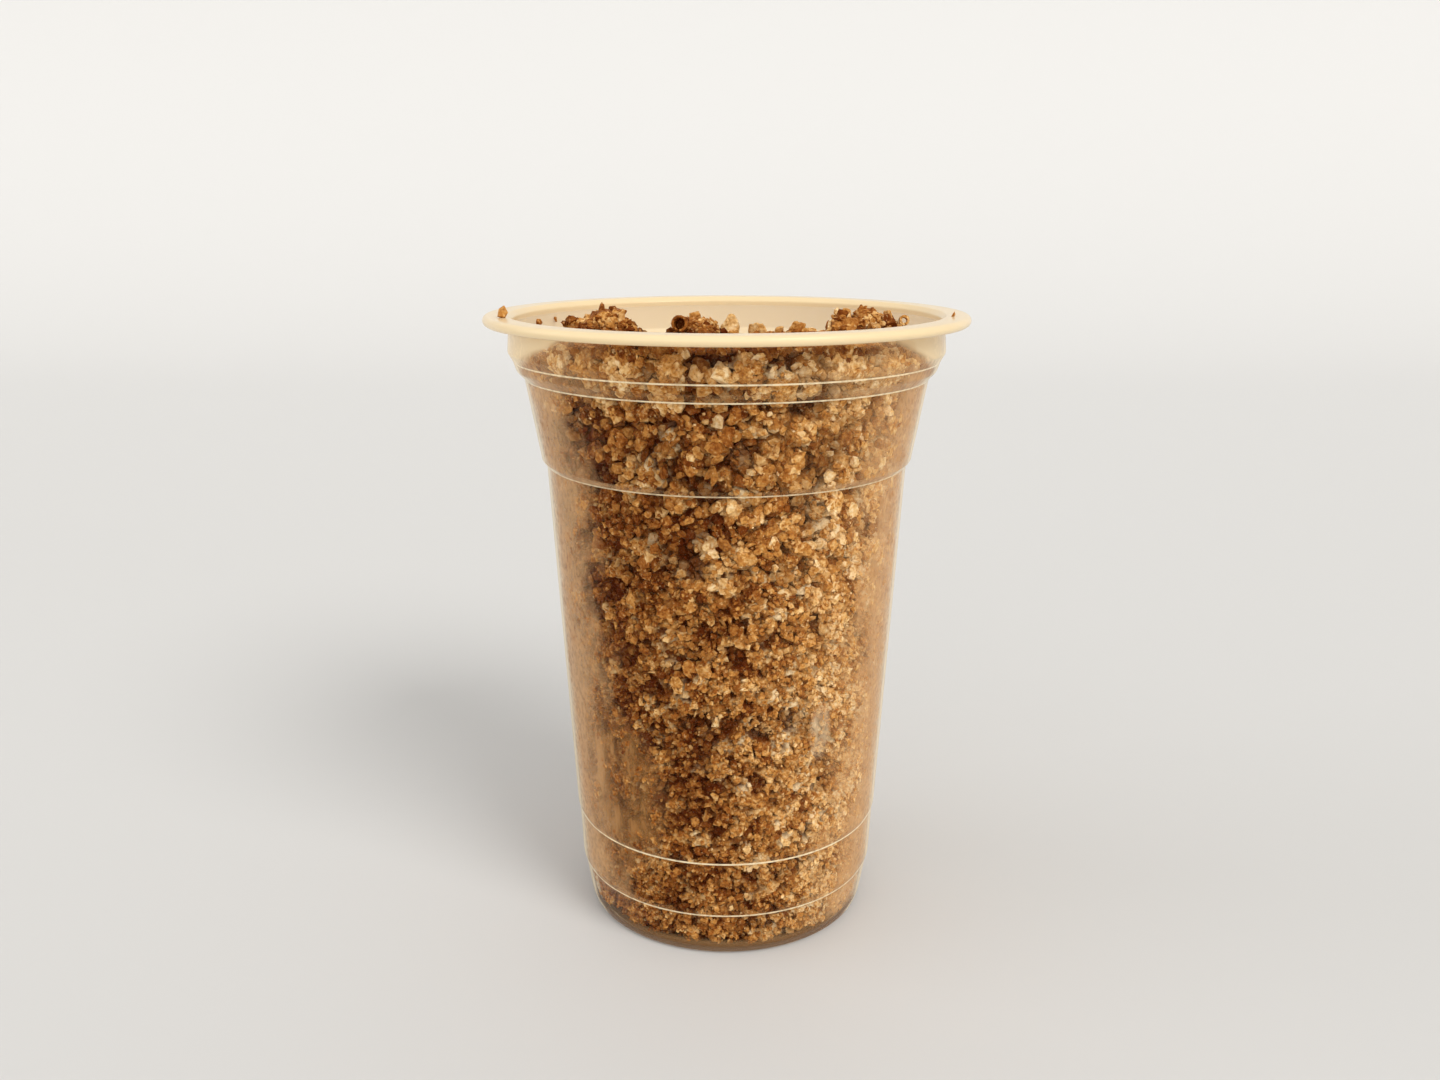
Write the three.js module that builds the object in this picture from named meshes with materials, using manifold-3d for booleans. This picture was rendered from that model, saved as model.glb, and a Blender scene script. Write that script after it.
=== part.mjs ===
// A date bread dessert cup: a clear stepped cup of 95 mm rim, heaped to the brim
// with a coarse crumble of date bread.
// Millimetres, +Z up. The origin is the centre of the foot, on the table.
// The side at -Y is the front, where the crumble stands highest.

import * as THREE from 'three';
import { mergeVertices } from 'three/addons/utils/BufferGeometryUtils.js';
import Module from 'manifold-3d';

const wasm = await Module();
wasm.setup();

// ---- Driving dimensions of the cup -------------------------------------------------

const CUP_HEIGHT = 125;
const WALL = 0.7;
const CUP_SEGMENTS = 48;

// The wall is a stack of straight tapers, each a little wider than the one below it.
// A band runs from its low end to its high end; its radii are those of the outer face.
const HEEL_BAND = { low: 2.2, lowRadius: 29.6, high: 9.7, highRadius: 30.85 };
const FOOT_BAND = { low: 10.6, lowRadius: 31.2, high: 21.5, highRadius: 31.7 };
const BODY_BAND = { low: 22.4, lowRadius: 32.05, high: 95.8, highRadius: 36.15 };
const SHOULDER_BAND = { low: 96.8, lowRadius: 37.1, high: 112.9, highRadius: 39.95 };
const GRIP_BAND = { low: 114.5, lowRadius: 41.45, high: 116.3, highRadius: 42.05 };
const COLLAR_BAND = { low: 118, lowRadius: 43, high: 123.6, highRadius: 42.6 };
const BANDS = [HEEL_BAND, FOOT_BAND, BODY_BAND, SHOULDER_BAND, GRIP_BAND, COLLAR_BAND];

// The lip is a flat flange with a rolled bead round its edge.
const LIP_RADIUS = 47.5;
const FLANGE_THICKNESS = 1;
const BEAD_HEIGHT = 1.9;
const BEAD_WIDTH = 2.1;
const MOUTH_ROUNDING = 0.9;

// The foot is a ring that stands on the table, round a raised base panel.
const FOOT_RING_INNER = 26.4;
const FOOT_RING_OUTER = 27.9;
const PANEL_HEIGHT = 1.5;
const PANEL_THICKNESS = 0.8;
const PANEL_SLOPE = 1;

// ---- Driving dimensions of the crumble ---------------------------------------------

const GAP = 0.35;               // left between the crumble and the cup
const COLUMN_SEGMENTS = 48;
const ROW_HEIGHT = 4.6;         // of the bumps on the side of the crumble
const FINE_RELIEF = 0.9;        // depth of the bumps low down, where the crumbs are fine
const COARSE_RELIEF = 2.2;      // and near the top, where they are lumps

// The top slopes down from the front to the back, and falls away at the left and right.
const TOP_DEPTH = 8.4;          // of the middle of the top, below the rim
const TOP_SLOPE = 0.12;
const FALL_START = 29;
const FALL_SLOPE = 0.38;
const TOP_GRID = 18;            // cells across the top
const TOP_WIDTH = 96;
const TOP_RELIEF = 0.5;

// Clumps that stand up from the top; the two outer ones reach over the rim.
const LEFT_CLUMP = { x: -23.5, y: -8, spread: 7, rise: 5.8, lumps: 11 };
const MIDDLE_CLUMP = { x: -5.5, y: -13, spread: 5.2, rise: 4.5, lumps: 7 };
const RIGHT_CLUMP = { x: 26.5, y: -6.5, spread: 7.6, rise: 6, lumps: 12 };
const SMALL_CLUMP = { x: 10.5, y: -14, spread: 5.4, rise: 2.5, lumps: 5 };
const CLUMPS = [LEFT_CLUMP, MIDDLE_CLUMP, RIGHT_CLUMP, SMALL_CLUMP];
const CLUMP_LUMP = 2.7;         // radius of a clump's middle-sized lump

// Lumps that show through the wall, and those that lie loose on the top.
const SIDE_LUMPS = 28;
const SIDE_LUMP_LOWEST = 62;
const SIDE_LUMP_HIGHEST = 117;
const SIDE_LUMP = 4.6;            // radius of a middle-sized one
const SIDE_LUMP_SINK = 0.55;      // share of its radius that it lies in from the wall
const TOP_LUMPS = 66;
const TOP_LUMP = 4;
const TOP_LUMP_SINK = 0.15;       // share of its radius that its centre lies below the top
const LUMP_VARIATION = 0.28;      // of a lump's size, and of each corner's distance
const LUMP_SQUASH = 0.78;         // height of a lump over its width

const GOLDEN_ANGLE = Math.PI * (3 - Math.sqrt(5));
const SEEDS = { column: 7, top: 11, sideLumps: 23, topLumps: 31, clumps: 43 };
const WELD_DISTANCE = 1e-4;

// ---- Materials ---------------------------------------------------------------------

const clearPlastic = new THREE.MeshStandardMaterial({
  color: 0xefe4cd, roughness: 0.14, metalness: 0, transparent: true, opacity: 0.35,
});
const dateBread = new THREE.MeshStandardMaterial({
  color: 0x9c7145, roughness: 0.88, metalness: 0,
});

// ---- Helpers -----------------------------------------------------------------------

const point = (x, y) => new THREE.Vector2(x, y);

// Repeatable random numbers from 0 to 1.
function seededRandom(seed) {
  const multiplier = 1664525;
  const increment = 1013904223;
  const modulus = 2 ** 32;
  let state = seed;
  return () => {
    state = (state * multiplier + increment) % modulus;
    return state / modulus;
  };
}

// An arc of a circle, both ends included.
function arc(centreX, centreY, radius, from, to, steps) {
  return Array.from({ length: steps + 1 }, (_, i) => {
    const angle = THREE.MathUtils.degToRad(from + (to - from) * i / steps);
    return point(centreX + radius * Math.cos(angle), centreY + radius * Math.sin(angle));
  });
}

// A closed solid turned about +Z from a profile that starts and ends on the axis.
function turned(profile, segments) {
  const lathe = new THREE.LatheGeometry(profile, segments);
  lathe.rotateX(Math.PI / 2);
  return lathe;
}

// Leaves only the positions, with the vertices that meet joined into one.
function welded(geometry) {
  geometry.deleteAttribute('normal');
  geometry.deleteAttribute('uv');
  return mergeVertices(geometry, WELD_DISTANCE);
}

// Moves each vertex by a function of its place.
function displaced(geometry, move) {
  const position = geometry.attributes.position;
  const vertex = new THREE.Vector3();
  for (let i = 0; i < position.count; i += 1) {
    vertex.fromBufferAttribute(position, i);
    move(vertex);
    position.setXYZ(i, vertex.x, vertex.y, vertex.z);
  }
  return geometry;
}

function toSolid(geometry) {
  return new wasm.Manifold(new wasm.Mesh({
    numProp: 3,
    vertProperties: Float32Array.from(geometry.attributes.position.array),
    triVerts: Uint32Array.from(geometry.index.array),
  }));
}

function toGeometry(solid) {
  const mesh = solid.getMesh();
  const geometry = new THREE.BufferGeometry();
  geometry.setAttribute('position', new THREE.BufferAttribute(mesh.vertProperties, 3));
  geometry.setIndex(new THREE.BufferAttribute(mesh.triVerts, 1));
  geometry.computeVertexNormals();
  return geometry;
}

// The outermost skin alone: loose scraps go, and sealed hollows are filled.
function outerSkin(solid) {
  return solid.decompose().reduce((a, b) => (a.volume() > b.volume() ? a : b));
}

// ---- The cup -----------------------------------------------------------------------

// Both ends of every band, from the foot up, on a face this far inside the outer one.
function wallPoints(inset) {
  return BANDS.flatMap((band) => [
    point(band.lowRadius - inset, band.low),
    point(band.highRadius - inset, band.high),
  ]);
}

// Radius of the wall's inner face at a height.
function innerRadius(height) {
  const points = wallPoints(WALL);
  const next = points.findIndex((p) => p.y >= height);
  if (next === 0) return points[0].x;
  if (next < 0) return points[points.length - 1].x;
  const share = (height - points[next - 1].y) / (points[next].y - points[next - 1].y);
  return THREE.MathUtils.lerp(points[next - 1].x, points[next].x, share);
}

function cupProfile() {
  const beadRound = BEAD_HEIGHT / 2;
  const beadInner = LIP_RADIUS - BEAD_WIDTH;
  const flangeUnderside = CUP_HEIGHT - FLANGE_THICKNESS;
  const mouth = COLLAR_BAND.highRadius - WALL + MOUTH_ROUNDING;
  const panelTop = PANEL_HEIGHT + PANEL_THICKNESS;
  const heelRise = HEEL_BAND.low;
  const heelRun = HEEL_BAND.lowRadius - FOOT_RING_OUTER;
  const quarter = Math.SQRT1_2;
  return [
    // Under the base panel, the foot ring and its rounded corner.
    point(0, PANEL_HEIGHT),
    point(FOOT_RING_INNER - PANEL_SLOPE, PANEL_HEIGHT),
    point(FOOT_RING_INNER, 0),
    point(FOOT_RING_OUTER, 0),
    point(FOOT_RING_OUTER + heelRun * quarter, heelRise * (1 - quarter)),
    ...wallPoints(0),
    // Under the flange, round the bead and back over the flat top.
    point(COLLAR_BAND.highRadius + FLANGE_THICKNESS / 2, flangeUnderside),
    point(beadInner, flangeUnderside),
    point(beadInner, CUP_HEIGHT - BEAD_HEIGHT),
    ...arc(LIP_RADIUS - beadRound, CUP_HEIGHT - beadRound, beadRound, -90, 90, 4),
    ...arc(mouth, CUP_HEIGHT - MOUTH_ROUNDING, MOUTH_ROUNDING, 90, 180, 2),
    // Down the inside, through the groove over the foot ring, and onto the floor.
    ...wallPoints(WALL).reverse(),
    point(FOOT_RING_OUTER + WALL / 2, PANEL_THICKNESS + WALL / 2),
    point(FOOT_RING_OUTER, PANEL_THICKNESS),
    point(FOOT_RING_INNER + WALL, PANEL_THICKNESS),
    point(FOOT_RING_INNER + WALL - PANEL_SLOPE, panelTop),
    point(0, panelTop),
  ];
}

// ---- The crumble -------------------------------------------------------------------

// Height of the bare top of the crumble, before its bumps and lumps; its clumps stand on
// steep-sided mounds.
function topHeight(x, y) {
  const base = CUP_HEIGHT - TOP_DEPTH - TOP_SLOPE * y;
  const fall = FALL_SLOPE * Math.max(0, Math.abs(x) - FALL_START);
  const mounds = CLUMPS.map((clump) => {
    const distance = Math.hypot(x - clump.x, y - clump.y) / clump.spread;
    return clump.rise * Math.exp(-(distance ** 4));
  });
  return base - fall + Math.max(...mounds);
}

// The bumps deepen from the foot, where the crumbs are fine, to the brim.
function sideRelief(height) {
  const share = THREE.MathUtils.smoothstep(height, SIDE_LUMP_LOWEST, SIDE_LUMP_HIGHEST);
  return THREE.MathUtils.lerp(FINE_RELIEF, COARSE_RELIEF, share);
}

// The rows of the column's side: one at each corner of the wall, and even ones between.
function columnSide(floor) {
  const corners = [point(innerRadius(floor) - GAP, floor), ...wallPoints(WALL + GAP).slice(1)];
  return corners.flatMap((corner, i) => {
    const next = corners[i + 1];
    if (!next) return [corner];
    const rows = Math.max(1, Math.round((next.y - corner.y) / ROW_HEIGHT));
    return Array.from({ length: rows }, (_, row) => corner.clone().lerp(next, row / rows));
  });
}

// The column of crumble that fills the cup up to its brim, with bumps all round its side.
function crumbleColumn() {
  const floor = PANEL_HEIGHT + PANEL_THICKNESS + GAP;
  const profile = [point(0, floor), ...columnSide(floor), point(0, COLLAR_BAND.high)];
  const random = seededRandom(SEEDS.column);
  return displaced(welded(turned(profile, COLUMN_SEGMENTS)), (vertex) => {
    const radius = Math.hypot(vertex.x, vertex.y);
    const depth = Math.min(radius, random() * sideRelief(vertex.z));
    const keep = radius > 0 ? 1 - depth / radius : 1;
    vertex.x *= keep;
    vertex.y *= keep;
  });
}

// A block that reaches past the wall all round; its upper face is the top of the crumble.
function topBlock() {
  const block = new THREE.BoxGeometry(TOP_WIDTH, TOP_WIDTH, CUP_HEIGHT, TOP_GRID, TOP_GRID, 1);
  const random = seededRandom(SEEDS.top);
  return displaced(welded(block), (vertex) => {
    const bump = (random() - 0.5) * 2 * TOP_RELIEF;
    vertex.z = vertex.z > 0 ? topHeight(vertex.x, vertex.y) + bump : 0;
  });
}

// One lump: an uneven, slightly flattened ball of few sides that stays off the wall.
function lump(centre, size, random) {
  const vary = () => 1 + (random() * 2 - 1) * LUMP_VARIATION;
  const turn = new THREE.Euler(random() * Math.PI, random() * Math.PI, random() * Math.PI);
  const ball = welded(new THREE.IcosahedronGeometry(size, 0));
  displaced(ball, (vertex) => {
    vertex.multiplyScalar(vary());
    vertex.z *= LUMP_SQUASH;
    vertex.applyEuler(turn).add(centre);
  });
  ball.computeBoundingBox();
  const { min, max } = ball.boundingBox;
  const limit = Math.min(innerRadius(min.z), innerRadius(max.z)) - GAP;
  return toSolid(displaced(ball, (vertex) => {
    const radius = Math.hypot(vertex.x, vertex.y);
    const keep = Math.min(1, limit / radius);
    vertex.x *= keep;
    vertex.y *= keep;
  }));
}

// Lumps pressed against the wall, spread evenly round the upper part of the side.
function sideLumps() {
  const random = seededRandom(SEEDS.sideLumps);
  return Array.from({ length: SIDE_LUMPS }, (_, i) => {
    const share = (i + random()) / SIDE_LUMPS;
    const angle = i * GOLDEN_ANGLE;
    const height = THREE.MathUtils.lerp(SIDE_LUMP_LOWEST, SIDE_LUMP_HIGHEST, share);
    const size = SIDE_LUMP * (1 + (random() * 2 - 1) * LUMP_VARIATION);
    const radius = innerRadius(height) - GAP - size * SIDE_LUMP_SINK;
    const x = radius * Math.cos(angle);
    const y = radius * Math.sin(angle);
    const top = topHeight(x, y) - size * LUMP_SQUASH;
    return lump(new THREE.Vector3(x, y, Math.min(height, top)), size, random);
  });
}

// Lumps on the top, out to the wall, in an even spiral.
function topLumps() {
  const random = seededRandom(SEEDS.topLumps);
  return Array.from({ length: TOP_LUMPS }, (_, i) => {
    const size = TOP_LUMP * (1 + (random() * 2 - 1) * LUMP_VARIATION);
    const reach = innerRadius(CUP_HEIGHT) - GAP - size / 2;
    const radius = reach * Math.sqrt((i + 0.5) / TOP_LUMPS);
    const angle = i * GOLDEN_ANGLE;
    const x = radius * Math.cos(angle);
    const y = radius * Math.sin(angle);
    const z = topHeight(x, y) - size * TOP_LUMP_SINK;
    return lump(new THREE.Vector3(x, y, z), size, random);
  });
}

// The lumps of the standing clumps, each clump a spiral of its own.
function clumpLumps() {
  const random = seededRandom(SEEDS.clumps);
  return CLUMPS.flatMap((clump) => Array.from({ length: clump.lumps }, (_, i) => {
    const size = CLUMP_LUMP * (1 + (random() * 2 - 1) * LUMP_VARIATION);
    const radius = clump.spread * Math.sqrt((i + 0.5) / clump.lumps);
    const angle = i * GOLDEN_ANGLE;
    const x = clump.x + radius * Math.cos(angle);
    const y = clump.y + radius * Math.sin(angle);
    const z = topHeight(x, y) - size * TOP_LUMP_SINK;
    return lump(new THREE.Vector3(x, y, z), size, random);
  }));
}

function crumbleHeap() {
  const core = toSolid(crumbleColumn()).intersect(toSolid(topBlock()));
  const lumps = [...sideLumps(), ...topLumps(), ...clumpLumps()];
  const fused = lumps.reduce((heap, piece) => heap.add(piece), core);
  return toGeometry(outerSkin(fused));
}

// ---- The whole ---------------------------------------------------------------------

const dessertCup = new THREE.Group();

const cup = new THREE.Mesh(turned(cupProfile(), CUP_SEGMENTS), clearPlastic);
cup.name = 'cup';
dessertCup.add(cup);

const crumble = new THREE.Mesh(crumbleHeap(), dateBread);
crumble.name = 'date_bread_crumble';
dessertCup.add(crumble);

export default dessertCup;
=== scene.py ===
# %% [markdown]
# # A cup of date bread crumble
#
# The object is a thin clear takeaway cup, heaped to the brim with date bread rubbed into
# crumbs. The solid model already holds the true size of both pieces: the cup, and one block
# for the crumble. This lesson dresses them. The cup becomes a smooth thin wall of milky
# plastic, and the block becomes a rough dark core with many thousands of loose crumbs on it.
#
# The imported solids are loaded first, so that every size below can be measured against them.

# %% Load the solids
import math

import bmesh
import bpy
import numpy as np
from mathutils import Matrix, Quaternion, Vector, kdtree, noise


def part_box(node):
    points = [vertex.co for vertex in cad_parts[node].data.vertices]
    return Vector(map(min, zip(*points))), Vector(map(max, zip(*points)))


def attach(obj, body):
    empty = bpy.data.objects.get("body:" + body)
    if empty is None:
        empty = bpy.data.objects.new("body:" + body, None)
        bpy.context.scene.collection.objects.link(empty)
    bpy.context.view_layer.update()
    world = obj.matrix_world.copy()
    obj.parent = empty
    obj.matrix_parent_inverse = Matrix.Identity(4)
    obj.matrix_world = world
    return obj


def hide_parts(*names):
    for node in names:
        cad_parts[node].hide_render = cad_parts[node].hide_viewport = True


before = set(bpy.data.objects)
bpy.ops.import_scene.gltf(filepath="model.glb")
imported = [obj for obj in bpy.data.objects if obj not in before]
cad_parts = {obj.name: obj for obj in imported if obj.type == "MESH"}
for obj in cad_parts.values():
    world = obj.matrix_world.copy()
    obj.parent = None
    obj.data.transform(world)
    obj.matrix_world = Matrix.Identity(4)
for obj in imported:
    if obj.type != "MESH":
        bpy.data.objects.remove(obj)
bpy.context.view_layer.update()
cup_low, cup_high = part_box("cup")
print("cup box in metres:", tuple(cup_low), tuple(cup_high))

# %% [markdown]
# ## Measures of the cup
#
# A thermoformed cup is a stack of straight tapers, each a little wider than the one below
# it, so that empty cups can be pulled apart. As bands with a low and a high end they give the
# outer face, and the wall's thickness gives the inner one. Lengths are in millimetres, and MM
# turns them into metres.

# %% Bands of the wall
MM = 0.001
CUP_HEIGHT = 125.0
LIP_RADIUS = 47.5
WALL = 0.7
SAME_POINT = 2e-6  # points closer than this are joined

BANDS = {
    "heel": ((2.2, 29.6), (9.7, 30.85)),
    "foot": ((10.6, 31.2), (21.5, 31.7)),
    "body": ((22.4, 32.05), (95.8, 36.15)),
    "shoulder": ((96.8, 37.1), (112.9, 39.95)),
    "grip": ((114.5, 41.45), (116.3, 42.05)),
    "collar": ((118.0, 43.0), (123.6, 42.6)),
}
WALL_HEIGHTS = [end[0] for band in BANDS.values() for end in band]
WALL_RADII = [end[1] for band in BANDS.values() for end in band]


def outer_radius(height):
    """Radius of the wall's outer face at a height, for one height or many."""
    return np.interp(height, WALL_HEIGHTS, WALL_RADII)


def inner_radius(height):
    """Radius of the wall's inner face at a height."""
    return outer_radius(height) - WALL


print("lip", 2 * LIP_RADIUS, "mm, solid", round((cup_high.x - cup_low.x) / MM, 1), "mm")

# %% [markdown]
# ## The camera
#
# The picture was taken from a little above the rim, close to the cup, and tipped down by
# fifteen degrees. Being that close is what makes the foot look so much smaller than the lip,
# so the distance matters more than the lens.


# %% Camera
def in_scene(name, data):
    """A new object in the scene."""
    made = bpy.data.objects.new(name, data)
    bpy.context.scene.collection.objects.link(made)
    return made


CAMERA_PLACE = (-1.3 * MM, -249 * MM, 145.3 * MM)
CAMERA_TIP = math.radians(15.05)
SENSOR_WIDTH = 36.0
FOCAL_SHARE = 1245 / 1440  # focal length over the width of the picture

camera_data = bpy.data.cameras.new("camera")
camera_data.sensor_width = SENSOR_WIDTH
camera_data.lens = SENSOR_WIDTH * FOCAL_SHARE
camera_data.clip_start = 0.01
camera_data.clip_end = 20.0
camera = in_scene("camera", camera_data)
camera.location = CAMERA_PLACE
camera.rotation_euler = (math.pi / 2 - CAMERA_TIP, 0.0, 0.0)
bpy.context.scene.camera = camera
print("lens", round(camera_data.lens, 2), "mm")

# %% [markdown]
# ## Helpers for materials
#
# A material is a tree of nodes, and a tree is easier to read when each node is one line that
# says what feeds it. The first helper does that: a socket's value can be a number, a colour
# or the output of another node. The others build on it.


# %% Helpers for materials
def add(tree, kind, sockets=None, **settings):
    """A new node; each of its sockets gets a value, or a link if it is given an output."""
    made = tree.nodes.new(kind)
    for name, value in settings.items():
        setattr(made, name, value)
    for name, value in (sockets or {}).items():
        if isinstance(value, bpy.types.NodeSocket):
            tree.links.new(value, made.inputs[name])
        else:
            made.inputs[name].default_value = value
    return made


def calc(tree, operation, *values):
    """The output of a Math node."""
    return add(tree, "ShaderNodeMath", dict(enumerate(values)), operation=operation).outputs[0]


def times(tree, first, *others):
    """The product of some values."""
    for other in others:
        first = calc(tree, "MULTIPLY", first, other)
    return first


def largest(tree, first, *others):
    """The largest of some values."""
    for other in others:
        first = calc(tree, "MAXIMUM", first, other)
    return first


def spread(tree, value, low, high, to_low=0.0, to_high=1.0):
    """The output of a Map Range node with soft ends."""
    sockets = {"Value": value, 1: low, 2: high, 3: to_low, 4: to_high}
    kind = "ShaderNodeMapRange"
    return add(tree, kind, sockets, interpolation_type="SMOOTHSTEP").outputs[0]


def blend(tree, share, first, second):
    """The output of a colour Mix node."""
    sockets = {0: share, 6: first, 7: second}
    return add(tree, "ShaderNodeMix", sockets, data_type="RGBA").outputs[2]


def cloudy(tree, place, scale, detail=2.0, roughness=0.5):
    """The output of a Noise node."""
    sockets = {"Vector": place, "Scale": scale, "Detail": detail, "Roughness": roughness}
    return add(tree, "ShaderNodeTexNoise", sockets).outputs["Fac"]


def bumpy(tree, relief, strength, distance):
    """A normal that leans as if the surface were bumpy; the distance is in millimetres."""
    sockets = {"Strength": strength, "Distance": distance * MM, "Height": relief}
    return add(tree, "ShaderNodeBump", sockets).outputs[0]


def own_value(tree, name):
    """The number of that name which each point of the mesh carries."""
    return add(tree, "ShaderNodeAttribute", attribute_name=name).outputs["Fac"]


def new_material(name):
    """An empty node material and the socket that its surface plugs into."""
    material = bpy.data.materials.new(name)
    material.use_nodes = True
    material.node_tree.nodes.clear()
    output = material.node_tree.nodes.new("ShaderNodeOutputMaterial")
    return material, output.inputs["Surface"]


# %% [markdown]
# ## Helpers for meshes
#
# What repeats when meshes are built: an outline is drawn and turned like a pot on a wheel,
# numbers are stored at the points for the material to read, and the piece is put into the
# scene.


# %% Helpers for meshes and pieces
def draw_outline(bm, corners):
    """Points of an outline, joined by edges."""
    points = [bm.verts.new(corner) for corner in corners]
    for first, second in zip(points, points[1:]):
        bm.edges.new((first, second))
    return points


def turn_outline(bm, steps):
    """Spins an outline round the axis into a closed form with its faces outward."""
    bmesh.ops.spin(
        bm, geom=bm.verts[:] + bm.edges[:], cent=(0, 0, 0), axis=(0, 0, 1),
        angle=2 * math.pi, steps=steps, use_merge=True,
    )
    bmesh.ops.remove_doubles(bm, verts=bm.verts[:], dist=SAME_POINT)
    bmesh.ops.recalc_face_normals(bm, faces=bm.faces[:])


def to_mesh(bm, name):
    """The finished mesh of a bmesh, which is freed."""
    mesh = bpy.data.meshes.new(name)
    bm.to_mesh(mesh)
    bm.free()
    return mesh


def corners_of(mesh):
    """The x, y and z of a mesh's points."""
    points = np.empty(len(mesh.vertices) * 3)
    mesh.vertices.foreach_get("co", points)
    return points.reshape(-1, 3).T


def store(mesh, **values):
    """Stores a number of each name at every point of a mesh."""
    for name, numbers in values.items():
        layer = mesh.attributes.new(name, "FLOAT", "POINT")
        layer.data.foreach_set("value", numbers.astype(np.float32))


def new_piece(name, mesh, material):
    """A mesh as a piece of the object, riding on its one body."""
    mesh.materials.append(material)
    piece = in_scene(name, mesh)
    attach(piece, "root")
    print(name, "has", len(mesh.polygons), "faces")
    return piece


# %% [markdown]
# ## The plastic
#
# The real plastic is clear only where it is thin and is looked at squarely. At a slant it
# turns hazy, and the flange and the lip, where it is thick, are milky all over. Glass with
# true refraction is slow and hides the crumbs behind noise, so a see-through shader is mixed
# with a pale one instead. The share of the pale one is called haze here. It grows at a slant,
# towards the lip and where bread has left a film on the inside. A mirror shader on top gives
# the gloss. Its share follows the slant by a power, because a Fresnel node that is met from
# inside the wall turns into a perfect mirror.
#
# Where moist bread lies against the wall, the plastic looks clear. Above the bread it is dry
# and milky. Two marks are on the inside: a greasy smear low on the left, where bread was
# pressed along the wall, and a small pale one on the right, which is partly a painted
# highlight. Each is a soft spot, broken up by a cloudy noise and by streaks. A pale veil on
# the right side is painted light. Gloss on a film this thin would turn the dark gaps behind it
# grey, so it gets little, and that little is warm.

# %% Plastic material
TOP_DEPTH = 8.4  # how far the middle of the bread's top lies below the rim, mm
TOP_SLOPE = 0.12  # how steeply it slopes down to the back
BARE_SLOPE = 0.14  # the bare wall starts a little higher in front and lower behind
FALL_START = 29.0  # beyond this distance to either side it falls away
FALL_SLOPE = 0.38
BARE_FROM, BARE_TO = 0.1, 2.5  # how far above the bread's top the wall turns milky, mm
MILK = (0.95, 0.82, 0.56, 1)
LIP_CREAM = (0.95, 0.79, 0.51, 1)
BREAD_FILM = (0.64, 0.38, 0.17, 1)
WET_SMEAR = (0.52, 0.26, 0.085, 1)
PALE_SMEAR_AND_HIGHLIGHT = (0.80, 0.62, 0.40, 1)
BREAD_SEEN_IN_BASE = (0.30, 0.155, 0.06, 1)
PAINTED_STEP_HIGHLIGHTS = {
    # the painted highlight along the top of a band: half its width, mm, and its strength
    "heel": (0.19, 0.95),
    "foot": (0.2, 1.0),
    "body": (0.14, 0.85),
    "shoulder": (0.15, 1.0),
    "grip": (0.16, 1.0),
}
SHINE_THROUGH = 0.18  # share of the milky plastic's light that comes from behind it
MIRROR_AT_FRONT = 0.001  # share of light that the plastic mirrors when it is met squarely
MIRROR_AT_SLANT = 0.3
FILM_SHINE = (1.0, 0.85, 0.62, 1)
SLANT_HAZE = 0.62  # how much the haze covers at most, from 0 to 1, and where
COLLAR_HAZE = 0.3
EDGE_HAZE = 0.85
BARE_HAZE = 0.62
LIP_HAZE = 0.9
BASE_HAZE = 0.5
PAINTED_VEIL_ON_RIGHT = 0.06  # a pale veil inside, on the right: painted light on the key light's side
SMEARS = {
    # middle, and half sizes across and up, mm; strength and colour
    "greasy": ((-23.5, -22.5, 33.0), (14.0, 20.0), 0.74, WET_SMEAR),
    "pale": ((18.4, -28.0, 47.5), (3.2, 7.5), 0.62, PALE_SMEAR_AND_HIGHLIGHT),
}


def smear(tree, place, middle, half_sizes, strength):
    """A soft spot on the wall: its strength at the middle, falling to nothing outside."""
    across, up = half_sizes
    scale = (1 / (across * MM), 1 / (across * MM), 1 / (up * MM))
    shift = tuple(-c * MM * k for c, k in zip(middle, scale))
    sockets = {"Vector": place, "Location": shift, "Scale": scale}
    local = add(tree, "ShaderNodeMapping", sockets).outputs[0]
    reach = add(tree, "ShaderNodeVectorMath", {0: local}, operation="LENGTH").outputs["Value"]
    return spread(tree, reach, 1.1, 0.5, 0.0, strength)


def bare_wall(tree, across, inward, height):
    """1 where the wall stands bare above the bread, which slopes to the back and the sides."""
    above = calc(tree, "MULTIPLY_ADD", inward, BARE_SLOPE, height)
    sideways = calc(tree, "SUBTRACT", calc(tree, "ABSOLUTE", across), FALL_START * MM)
    sideways = calc(tree, "MAXIMUM", sideways, 0.0)
    above = calc(tree, "MULTIPLY_ADD", sideways, FALL_SLOPE, above)
    brim_level = CUP_HEIGHT - TOP_DEPTH
    return spread(tree, above, (brim_level + BARE_FROM) * MM, (brim_level + BARE_TO) * MM)


def painted_step_highlights(tree, height, inside, grit):
    """Painted highlights along the steps, on the outer face alone, with a glint that varies."""
    line = 0.0
    for band, (half_width, strength) in PAINTED_STEP_HIGHLIGHTS.items():
        edge = BANDS[band][1][0]
        near = calc(tree, "COMPARE", height, edge * MM, half_width * MM)
        line = calc(tree, "MAXIMUM", line, times(tree, near, strength))
    line = times(tree, line, calc(tree, "SUBTRACT", 1.0, inside))
    return line, times(tree, line, spread(tree, grit, 0.35, 0.6, 0.7, 1.0))


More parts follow.
